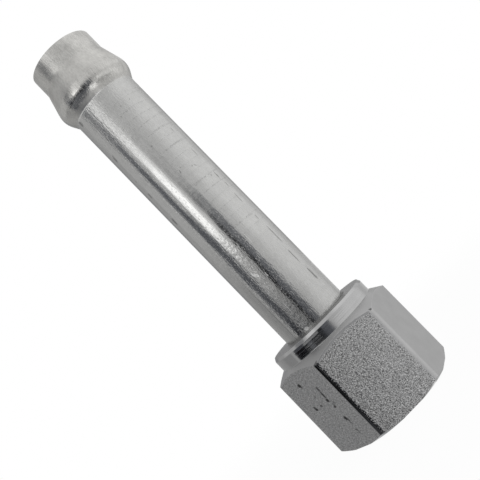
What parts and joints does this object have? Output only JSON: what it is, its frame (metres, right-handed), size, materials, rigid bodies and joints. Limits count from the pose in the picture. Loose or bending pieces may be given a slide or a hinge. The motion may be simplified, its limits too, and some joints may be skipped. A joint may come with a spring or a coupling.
{
  "type": "heater hose fitting",
  "caption": "Straight heater hose fitting: a beaded metal tube for a hose, with a captive hexagon nut that turns on its flared end.",
  "frame": {"origin": "centre of the nut's mouth, on the plane that the nut stands on", "axes": "+Z along the tube from the nut's mouth to the open tip, +X square to a pair of the nut's flats"},
  "size_m": [0.027, 0.0308, 0.1033],
  "materials": {
    "tube_metal": "bright drawn tube, cloudy on the formed bead, with fine handling marks",
    "nut_metal": "zinc-plated hexagon bar with a grainy flat, smooth turned collar and bevels"
  },
  "bodies": {
    "tube": {"hose_tube": "tube_metal"},
    "nut": {"swivel_nut": "nut_metal"}
  },
  "joints": [
    {"name": "nut_swivel", "type": "hinge", "parent": "tube", "child": "nut", "pos_m": [0, 0, 0], "axis": [0, 0, 1], "continuous": true}
  ]
}
